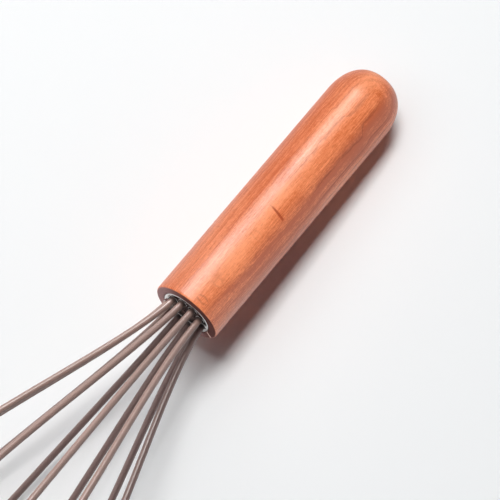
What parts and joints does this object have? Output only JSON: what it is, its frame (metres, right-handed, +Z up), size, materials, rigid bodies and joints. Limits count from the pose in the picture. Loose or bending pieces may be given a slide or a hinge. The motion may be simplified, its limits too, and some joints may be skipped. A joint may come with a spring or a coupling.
{
  "type": "balloon whisk",
  "caption": "Kitchen balloon whisk with a turned wooden handle, a perforated steel cap and crossing silicone-covered wire loops.",
  "frame": {"origin": "on the table, under the middle of the whisk's box, as it lies on its butt and two neighbouring legs", "axes": "+X along the whisk from the handle's butt to the tip of the balloon, +Z up from the table"},
  "size_m": [0.319, 0.0862, 0.0845],
  "materials": {
    "stained_beech": "satin varnish over reddish stain",
    "polished_steel": "polished",
    "casting_resin": "cast",
    "taupe_silicone": "satin",
    "spring_wire": "drawn"
  },
  "bodies": {
    "root": {"handle": "stained_beech", "end_cap": "polished_steel", "resin_plug": "casting_resin", "silicone_sleeve_1": "taupe_silicone", "silicone_sleeve_2": "taupe_silicone", "silicone_sleeve_3": "taupe_silicone", "silicone_sleeve_4": "taupe_silicone", "silicone_sleeve_5": "taupe_silicone", "wire_core_1": "spring_wire", "wire_core_2": "spring_wire", "wire_core_3": "spring_wire", "wire_core_4": "spring_wire", "wire_core_5": "spring_wire"}
  },
  "joints": []
}
